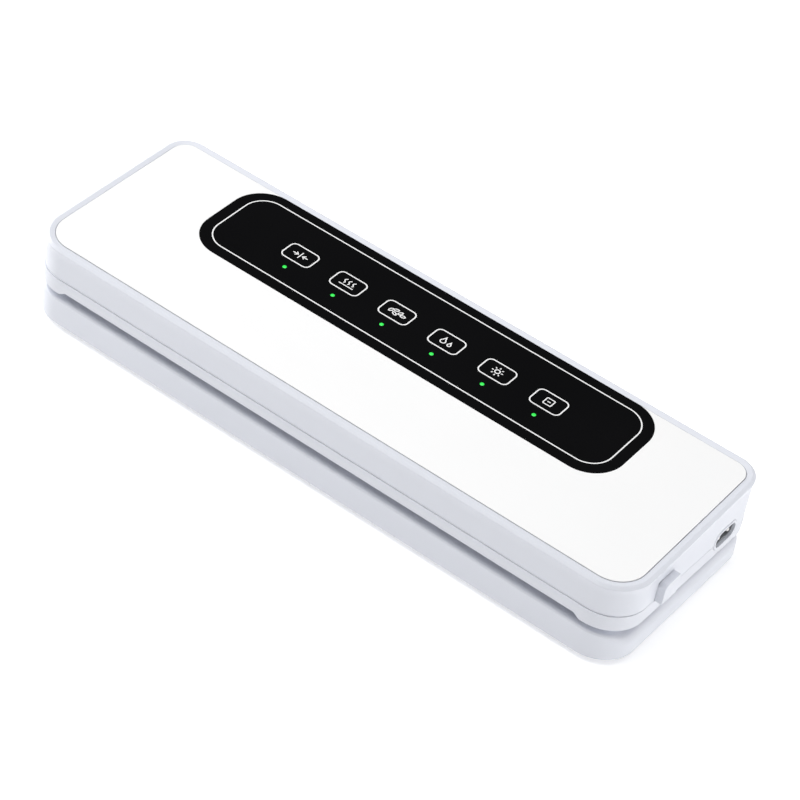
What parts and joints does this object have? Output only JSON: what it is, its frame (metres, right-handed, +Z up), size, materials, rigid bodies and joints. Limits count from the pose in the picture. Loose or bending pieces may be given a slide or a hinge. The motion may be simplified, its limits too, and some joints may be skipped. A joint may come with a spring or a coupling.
{
  "type": "vacuum sealer",
  "caption": "Slim countertop bag sealer: hinged lid with touch keys and indicator lights over a low base with vacuum trough, gaskets, seal bar and end release buttons.",
  "frame": {"origin": "on the ground, under the middle of the object", "axes": "+X along the length towards the mains inlet end, -Y out of the bag mouth at the front, +Z up"},
  "size_m": [0.3742, 0.1178, 0.0548],
  "materials": {
    "white_body": "satin moulded ABS, cool white",
    "white_cover": "satin moulded ABS, cool white",
    "top_plate": "white plate, very fine brushed grain, low gloss",
    "gloss_overlay": "gloss black acrylic with pale printed outlines",
    "indicator_lens": "small clear green lens, lit",
    "board": "glass-fibre circuit board with green solder mask",
    "steel": "zinc-plated steel",
    "aluminium": "mill-finish bar",
    "heating_strip": "nickel-chrome ribbon",
    "tape": "brown PTFE-coated glass cloth",
    "foam_rubber": "closed-cell black foam",
    "silicone": "grey silicone",
    "foot_rubber": "moulded rubber",
    "dark_plastic": "black moulded plastic",
    "laminations": "varnished laminated core",
    "hose": "milky silicone tube",
    "inlet_brass": "turned brass pins"
  },
  "bodies": {
    "base": {"base_shell": "white_body", "base_bottom_cover": "white_cover", "vacuum_gasket_lower": "foam_rubber", "pressure_strip": "silicone", "hinge_pin_left": "steel", "hinge_pin_right": "steel", "foot_front_left": "foot_rubber", "foot_front_right": "foot_rubber", "foot_rear_left": "foot_rubber", "foot_rear_right": "foot_rubber", "base_screw_front_left": "steel", "base_screw_front_right": "steel", "base_screw_rear_left": "steel", "base_screw_rear_right": "steel"},
    "lid": {"lid_shell": "white_body", "lid_under_cover": "white_cover", "top_panel": "top_plate", "control_overlay": "gloss_overlay", "indicator_1": "indicator_lens", "indicator_2": "indicator_lens", "indicator_3": "indicator_lens", "indicator_4": "indicator_lens", "indicator_5": "indicator_lens", "indicator_6": "indicator_lens", "control_board": "board", "power_board": "board", "latch_spring_left": "steel", "latch_spring_right": "steel", "pump_motor": "steel", "lid_screw_front_left": "steel", "lid_screw_front_right": "steel", "lid_screw_rear_left": "steel", "lid_screw_rear_right": "steel", "heating_bar": "aluminium", "heating_wire": "heating_strip", "ptfe_tape": "tape", "vacuum_gasket_upper": "foam_rubber", "pump_head": "dark_plastic", "pump_bracket": "dark_plastic", "relief_valve": "dark_plastic", "lid_switch": "dark_plastic", "inlet_socket": "dark_plastic", "capacitor": "dark_plastic", "transformer": "laminations", "air_hose": "hose", "inlet_pin_front": "inlet_brass", "inlet_pin_rear": "inlet_brass"},
    "vacuum_key": {"key_vacuum": "gloss_overlay"},
    "seal_key": {"key_seal": "gloss_overlay"},
    "grain_key": {"key_grain": "gloss_overlay"},
    "moist_key": {"key_moist": "gloss_overlay"},
    "dry_key": {"key_dry": "gloss_overlay"},
    "stop_key": {"key_stop": "gloss_overlay"},
    "left_button": {"latch_button_left": "white_cover"},
    "right_button": {"latch_button_right": "white_cover"}
  },
  "joints": [
    {"name": "lid_hinge", "type": "hinge", "parent": "base", "child": "lid", "pos_m": [0, 0.0557, 0.021], "axis": [-1, 0, 0], "range_deg": [0, 75]},
    {"name": "vacuum_press", "type": "slide", "parent": "lid", "child": "vacuum_key", "axis": [0, 0.042, -0.9991], "range_m": [0, 0.0004], "stiffness_N_per_m": 1500},
    {"name": "seal_press", "type": "slide", "parent": "lid", "child": "seal_key", "axis": [0, 0.042, -0.9991], "range_m": [0, 0.0004], "stiffness_N_per_m": 1500},
    {"name": "grain_press", "type": "slide", "parent": "lid", "child": "grain_key", "axis": [0, 0.042, -0.9991], "range_m": [0, 0.0004], "stiffness_N_per_m": 1500},
    {"name": "moist_press", "type": "slide", "parent": "lid", "child": "moist_key", "axis": [0, 0.042, -0.9991], "range_m": [0, 0.0004], "stiffness_N_per_m": 1500},
    {"name": "dry_press", "type": "slide", "parent": "lid", "child": "dry_key", "axis": [0, 0.042, -0.9991], "range_m": [0, 0.0004], "stiffness_N_per_m": 1500},
    {"name": "stop_press", "type": "slide", "parent": "lid", "child": "stop_key", "axis": [0, 0.042, -0.9991], "range_m": [0, 0.0004], "stiffness_N_per_m": 1500},
    {"name": "left_release", "type": "slide", "parent": "lid", "child": "left_button", "axis": [1, 0, 0], "range_m": [0, 0.0025], "stiffness_N_per_m": 1200, "springref_m": -0.001, "deforming": ["latch_spring_left"]},
    {"name": "right_release", "type": "slide", "parent": "lid", "child": "right_button", "axis": [-1, 0, 0], "range_m": [0, 0.0025], "stiffness_N_per_m": 1200, "springref_m": -0.001, "deforming": ["latch_spring_right"]}
  ]
}
